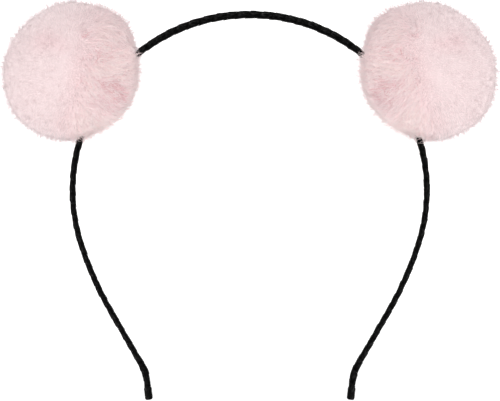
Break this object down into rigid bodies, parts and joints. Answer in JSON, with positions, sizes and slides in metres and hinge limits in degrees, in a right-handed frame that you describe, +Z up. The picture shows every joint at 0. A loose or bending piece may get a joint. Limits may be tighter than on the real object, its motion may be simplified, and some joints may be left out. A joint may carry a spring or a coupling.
{
  "type": "pompom headband",
  "caption": "Slim alice band wound in black satin ribbon, with a round light pink faux-fur pompom tied on at each side and folded ribbon ends.",
  "frame": {"origin": "centre of the bounding box on the floor, with the headband lying on its side", "axes": "+X from the left pompom to the right one as the picture shows them, +Y from the tips to the crown, +Z up, away from the floor that the pompoms and the tips rest on"},
  "size_m": [0.17, 0.1356, 0.0457],
  "materials": {
    "ribbon_wound_band": "black satin ribbon wound round a spring-steel strip",
    "folded_ribbon": "black satin ribbon, folded over and glued",
    "faux_fur": "soft dense light pink faux fur",
    "elastic": "matt white elastic"
  },
  "bodies": {
    "root": {"band": "ribbon_wound_band", "tip_fold_left": "folded_ribbon", "tip_fold_right": "folded_ribbon", "pompom_left": "faux_fur", "pompom_right": "faux_fur", "pompom_tie_left": "elastic", "pompom_tie_right": "elastic"}
  },
  "joints": []
}
